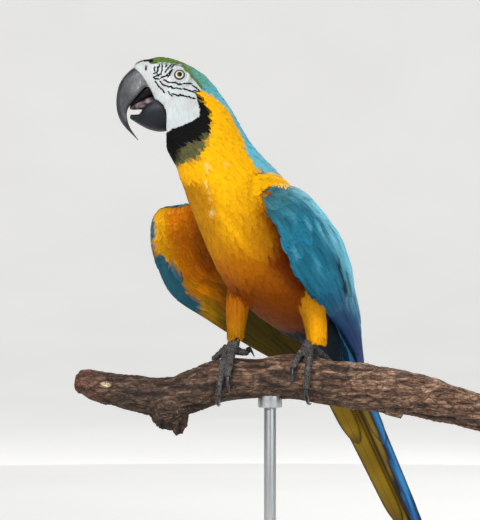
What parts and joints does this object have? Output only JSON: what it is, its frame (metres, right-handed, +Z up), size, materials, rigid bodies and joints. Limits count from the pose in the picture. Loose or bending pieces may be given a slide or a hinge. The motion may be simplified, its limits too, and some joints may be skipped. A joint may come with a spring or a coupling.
{
  "type": "macaw",
  "caption": "Life-size blue and yellow macaw museum model with open bill and one wing held out, gripping a cut branch on a round display stand.",
  "frame": {"origin": "centre of the stand base's underside, on the floor", "axes": "+Z up; +X along the branch towards its cut end, so the head looks to -X; +Y towards the tail's tip, so the breast is turned to -Y"},
  "size_m": [0.4328, 0.5278, 0.6128],
  "materials": {
    "plumage_yellow": "soft overlapping body feathers, golden yellow deepening to amber under the wing",
    "plumage_blue": "wing and tail coverts, turquoise to blue with a faint sheen",
    "flight_feathers": "stiff vanes, deep blue above and olive gold below",
    "bare_face": "matt white skin crossed by rows of short black feathers, green forehead and black chin",
    "bill_horn": "grey-black horn, satin, scuffed paler on the hook",
    "tongue": "moist, black with worn pinkish grey",
    "eye": "clear glossy eye, pale cream iris round a black pupil",
    "foot_scales": "dark grey scales with paler edges",
    "claw": "black horn, semi-gloss",
    "branch_wood": "weathered brown wood without bark, ridged along the grain",
    "stand_wood": "dark stained hardwood, satin",
    "stand_steel": "brushed round bar"
  },
  "bodies": {
    "root": {"head": "bare_face", "neck": "plumage_yellow", "trunk": "plumage_yellow", "tail_base": "plumage_blue", "left_eye": "eye", "right_eye": "eye", "upper_bill": "bill_horn", "lower_bill": "bill_horn", "tongue": "tongue", "left_wing_arm": "plumage_blue", "left_secondaries": "flight_feathers", "left_primaries": "flight_feathers", "right_wing_arm": "plumage_blue", "right_secondaries": "flight_feathers", "right_primaries": "flight_feathers", "tail_feather_left_1": "flight_feathers", "tail_feather_left_2": "flight_feathers", "tail_feather_left_3": "flight_feathers", "tail_feather_left_4": "flight_feathers", "tail_feather_left_5": "flight_feathers", "tail_feather_left_6": "flight_feathers", "tail_feather_right_1": "flight_feathers", "tail_feather_right_2": "flight_feathers", "tail_feather_right_3": "flight_feathers", "tail_feather_right_4": "flight_feathers", "tail_feather_right_5": "flight_feathers", "tail_feather_right_6": "flight_feathers", "left_thigh": "plumage_yellow", "left_foot": "foot_scales", "left_claw_inner": "claw", "left_claw_outer": "claw", "left_claw_hind_inner": "claw", "left_claw_hind_outer": "claw", "right_thigh": "plumage_yellow", "right_foot": "foot_scales", "right_claw_inner": "claw", "right_claw_outer": "claw", "right_claw_hind_inner": "claw", "right_claw_hind_outer": "claw", "perch_branch": "branch_wood", "stand_base": "stand_wood", "stand_rod": "stand_steel", "stand_cup": "stand_steel"}
  },
  "joints": []
}
